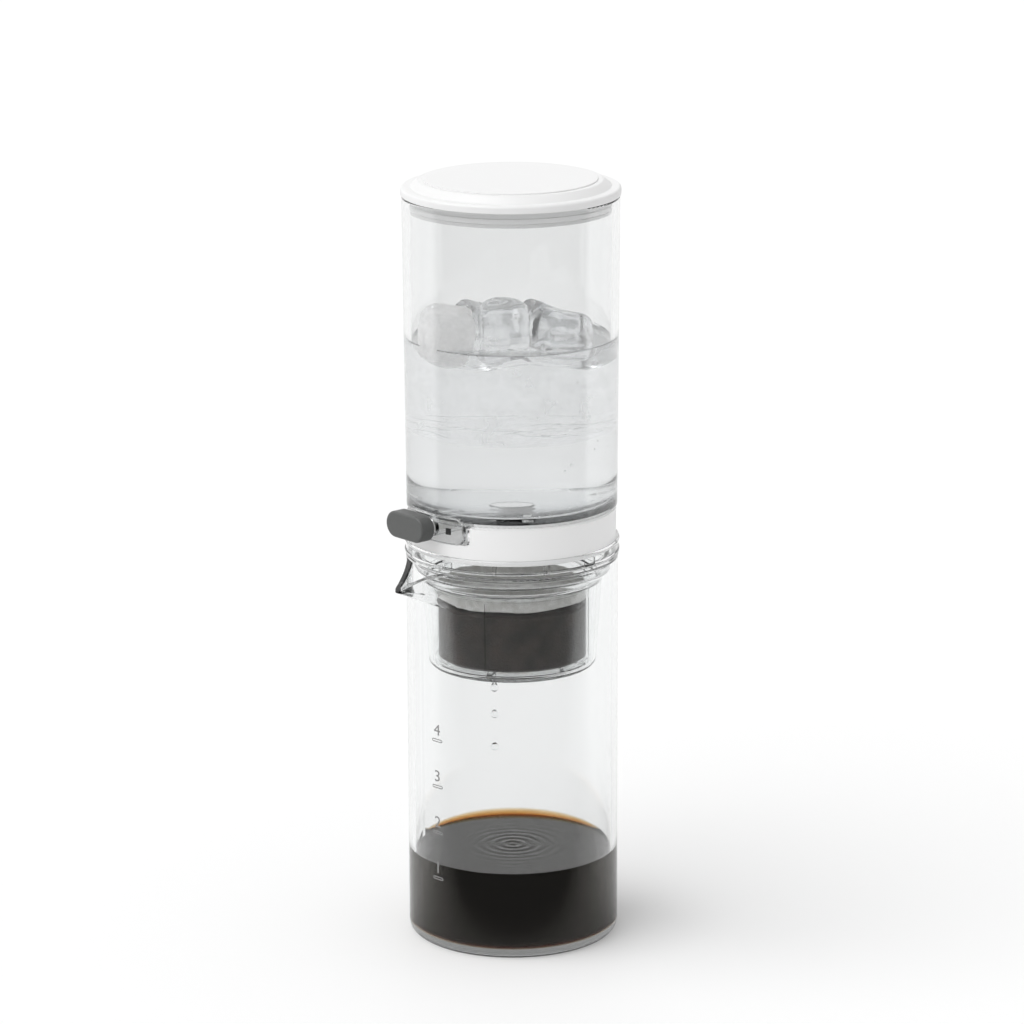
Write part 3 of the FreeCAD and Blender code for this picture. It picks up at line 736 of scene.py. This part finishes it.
def white_moulding(name, shade, roughness):
    """Satin white plastic or silicone with a faint grain."""
    material, nodes, links = new_material(name)
    white = nodes["Principled BSDF"]
    white.inputs["Base Color"].default_value = (shade, shade, shade, 1)
    place = nodes.new("ShaderNodeTexCoord")
    grain = nodes.new("ShaderNodeTexNoise")
    grain.inputs["Scale"].default_value = 1800
    spread = nodes.new("ShaderNodeMapRange")
    spread.inputs["To Min"].default_value = roughness - grain_swing
    spread.inputs["To Max"].default_value = roughness + grain_swing
    bump = nodes.new("ShaderNodeBump")
    bump.inputs["Strength"].default_value = 0.08
    bump.inputs["Distance"].default_value = 0.0001
    links.new(place.outputs["Object"], grain.inputs["Vector"])
    links.new(grain.outputs["Fac"], spread.inputs["Value"])
    links.new(spread.outputs[0], white.inputs["Roughness"])
    links.new(grain.outputs["Fac"], bump.inputs["Height"])
    links.new(bump.outputs["Normal"], white.inputs["Normal"])
    white.inputs["Subsurface Weight"].default_value = 0.15
    white.inputs["Subsurface Radius"].default_value = (0.002, 0.002, 0.002)
    return material


dress("tank_base_cover", white_moulding("satin white cover", shade=0.87, roughness=0.38))


# The drip valve: a clear housing with its raised pad, a pale spindle and black
# rings in it, a dark index mark and the grey lever with its fine matt grain.
dress("valve_housing", clear_plastic)


def moulded_grain(name, dark, light, roughness):
    """Matt moulding in two close shades with a fine raised grain."""
    material, nodes, links = new_material(name)
    solid = nodes["Principled BSDF"]
    place = nodes.new("ShaderNodeTexCoord")
    grain = nodes.new("ShaderNodeTexNoise")
    grain.inputs["Scale"].default_value = 3000
    grain.inputs["Detail"].default_value = 3
    shades = nodes.new("ShaderNodeValToRGB")
    shades.color_ramp.elements[0].position = 0.3
    shades.color_ramp.elements[0].color = (*dark, 1)
    shades.color_ramp.elements[1].position = 0.7
    shades.color_ramp.elements[1].color = (*light, 1)
    bump = nodes.new("ShaderNodeBump")
    bump.inputs["Strength"].default_value = 0.25
    bump.inputs["Distance"].default_value = 0.00008
    links.new(place.outputs["Object"], grain.inputs["Vector"])
    links.new(grain.outputs["Fac"], shades.inputs["Fac"])
    links.new(shades.outputs["Color"], solid.inputs["Base Color"])
    links.new(grain.outputs["Fac"], bump.inputs["Height"])
    links.new(bump.outputs["Normal"], solid.inputs["Normal"])
    solid.inputs["Roughness"].default_value = roughness
    return material


lever_grey = moulded_grain("matt grey lever", dark=(0.085, 0.088, 0.086), light=(0.105, 0.108, 0.106),
                           roughness=0.42)
index_dark = moulded_grain("dark index", dark=(0.02, 0.02, 0.02), light=(0.03, 0.03, 0.03), roughness=0.5)
pale_acetal = moulded_grain("pale acetal", dark=(0.72, 0.72, 0.7), light=(0.78, 0.78, 0.76), roughness=0.3)
black_rubber = moulded_grain("black rubber", dark=(0.015, 0.015, 0.015), light=(0.025, 0.025, 0.025),
                             roughness=0.55)
dress("valve_knob", lever_grey)
dress("index_mark", index_dark)
dress("valve_spindle", pale_acetal)
dress("knob_washer", pale_acetal)
dress("spindle_o_rings", black_rubber)
dress("spindle_clip", steel)


# The lid: satin white with a raised disc on top, and a milky silicone ring
# round its plug.
dress("lid_cover", white_moulding("satin white lid", shade=0.82, roughness=0.36))
dress("lid_seal", white_moulding("milky silicone", shade=0.9, roughness=0.45))


# The studio: a broad soft lamp high at the left, and a floor and a room that are
# white when seen directly. Mirrored, they are dim in front of the object, so that
# its clear walls and dark contents keep their contrast.
floor_size = 60
floor_glow = 0.05
floor_mirrored = 0.12
room_towards_eye = 0.4
room_at_right = 0.5
ambient_strength = 0.6


def floor_material():
    """White floor, lifted a little for the eye and dim in mirrored looks from the front."""
    material, nodes, links = new_material("white floor")
    surface = nodes["Principled BSDF"]
    surface.inputs["Base Color"].default_value = (0.9, 0.9, 0.9, 1)
    surface.inputs["Roughness"].default_value = 0.6
    surface.inputs["Specular IOR Level"].default_value = 0.2
    glow = nodes.new("ShaderNodeEmission")
    glow.inputs["Color"].default_value = (1, 1, 1, 1)
    path = nodes.new("ShaderNodeLightPath")
    straight = nodes.new("ShaderNodeMath")
    straight.operation = "MAXIMUM"
    share = nodes.new("ShaderNodeMath")
    share.operation = "MULTIPLY"
    share.inputs[1].default_value = floor_glow
    total = nodes.new("ShaderNodeAddShader")
    mirrored = nodes.new("ShaderNodeMath")
    mirrored.operation = "GREATER_THAN"
    mirrored.inputs[1].default_value = 0.5
    place = nodes.new("ShaderNodeTexCoord")
    nearness = nodes.new("ShaderNodeVectorMath")
    nearness.operation = "DOT_PRODUCT"
    nearness.inputs[1].default_value = to_camera
    in_front = nodes.new("ShaderNodeMapRange")
    in_front.inputs["From Min"].default_value = -0.02
    in_front.inputs["From Max"].default_value = 0.08
    bounced = nodes.new("ShaderNodeMath")
    bounced.operation = "MULTIPLY"
    dim = nodes.new("ShaderNodeMixShader")
    dark = nodes.new("ShaderNodeEmission")
    dark.inputs["Strength"].default_value = floor_mirrored
    links.new(path.outputs["Glossy Depth"], mirrored.inputs[0])
    links.new(place.outputs["Object"], nearness.inputs[0])
    links.new(nearness.outputs["Value"], in_front.inputs["Value"])
    links.new(mirrored.outputs[0], bounced.inputs[0])
    links.new(in_front.outputs[0], bounced.inputs[1])
    links.new(bounced.outputs[0], dim.inputs["Fac"])
    links.new(total.outputs[0], dim.inputs[1])
    links.new(dark.outputs[0], dim.inputs[2])
    links.new(path.outputs["Is Camera Ray"], straight.inputs[0])
    links.new(path.outputs["Is Transmission Ray"], straight.inputs[1])
    links.new(straight.outputs[0], share.inputs[0])
    links.new(share.outputs[0], glow.inputs["Strength"])
    links.new(surface.outputs[0], total.inputs[0])
    links.new(glow.outputs[0], total.inputs[1])
    links.new(dim.outputs[0], nodes["Material Output"].inputs["Surface"])
    return material


bpy.ops.mesh.primitive_plane_add(size=floor_size, location=(0, 0, 0))
floor = bpy.context.object
floor.name = "floor"
floor.data.materials.append(floor_material())


def white_room():
    """White when seen directly; when mirrored, dim towards the eye and at the right."""
    world = bpy.data.worlds.new("white room")
    world.use_nodes = True
    nodes = world.node_tree.nodes
    links = world.node_tree.links

    def combine(operation, first, second):
        node = nodes.new("ShaderNodeMath")
        node.operation = operation
        for place, value in enumerate((first, second)):
            if isinstance(value, (int, float)):
                node.inputs[place].default_value = value
            else:
                links.new(value, node.inputs[place])
        return node.outputs[0]

    def towards(direction, low, high, at_low, at_high):
        along = nodes.new("ShaderNodeVectorMath")
        along.operation = "DOT_PRODUCT"
        along.inputs[1].default_value = direction
        links.new(ray.outputs["Generated"], along.inputs[0])
        shade = nodes.new("ShaderNodeMapRange")
        shade.interpolation_type = "SMOOTHSTEP"
        shade.inputs["From Min"].default_value = low
        shade.inputs["From Max"].default_value = high
        shade.inputs["To Min"].default_value = at_low
        shade.inputs["To Max"].default_value = at_high
        links.new(along.outputs["Value"], shade.inputs["Value"])
        return shade.outputs[0]

    ray = nodes.new("ShaderNodeTexCoord")
    path = nodes.new("ShaderNodeLightPath")
    ahead = towards(to_camera, low=0.1, high=0.8, at_low=1.0, at_high=room_towards_eye)
    beside = towards(camera_right, low=0.2, high=0.9, at_low=1.0, at_high=room_at_right)
    room = combine("MULTIPLY", ahead, beside)
    bounced = combine("GREATER_THAN", path.outputs["Glossy Depth"], 0.5)
    view = combine("ADD", combine("MULTIPLY", bounced, room), combine("SUBTRACT", 1.0, bounced))
    diffuse = path.outputs["Is Diffuse Ray"]
    lit = combine("MULTIPLY", diffuse, ambient_strength)
    seen = combine("MULTIPLY", combine("SUBTRACT", 1.0, diffuse), view)
    nodes["Background"].inputs["Color"].default_value = (1, 1, 1, 1)
    links.new(combine("ADD", lit, seen), nodes["Background"].inputs["Strength"])
    return world


bpy.context.scene.world = white_room()

key_height = math.radians(57)
key_side = math.radians(62)
key = bpy.data.lights.new("key lamp", "SUN")
key.energy = 1.75
key.angle = math.radians(58)
key_lamp = bpy.data.objects.new("key lamp", key)
bpy.context.scene.collection.objects.link(key_lamp)
key_place = seen_from_front(
    -math.cos(key_height) * math.sin(key_side),
    math.cos(key_height) * math.cos(key_side),
    math.sin(key_height),
)
key_turn = key_place.to_track_quat("Z", "Y").to_matrix().to_4x4()
key_lamp.matrix_world = Matrix.Translation(key_place) @ key_turn


# The camera stands where the photograph was taken from: 1.88 m in front of
# the carafe, 0.67 m above its foot, looking down by about 15 degrees.
camera_reach = 1.877
camera_height = 0.673
camera_pitch = math.radians(14.683)
camera_roll = math.radians(-0.203)
eye = bpy.data.cameras.new("camera")
eye.lens = 164.49
eye.sensor_width = 36
eye.clip_start = 0.05
camera = bpy.data.objects.new("camera", eye)
bpy.context.scene.collection.objects.link(camera)
camera.matrix_world = (
    Matrix.Translation(to_camera * camera_reach + Vector((0, 0, camera_height)))
    @ Matrix.Rotation(camera_azimuth, 4, "Z")
    @ Matrix.Rotation(math.pi / 2 - camera_pitch, 4, "X")
    @ Matrix.Rotation(camera_roll, 4, "Z")
)
bpy.context.scene.camera = camera
bpy.context.scene.view_settings.view_transform = "Standard"
bpy.context.scene.cycles.max_bounces = 28
bpy.context.scene.cycles.transmission_bounces = 28
bpy.context.scene.cycles.glossy_bounces = 12
bpy.context.scene.cycles.transparent_max_bounces = 24
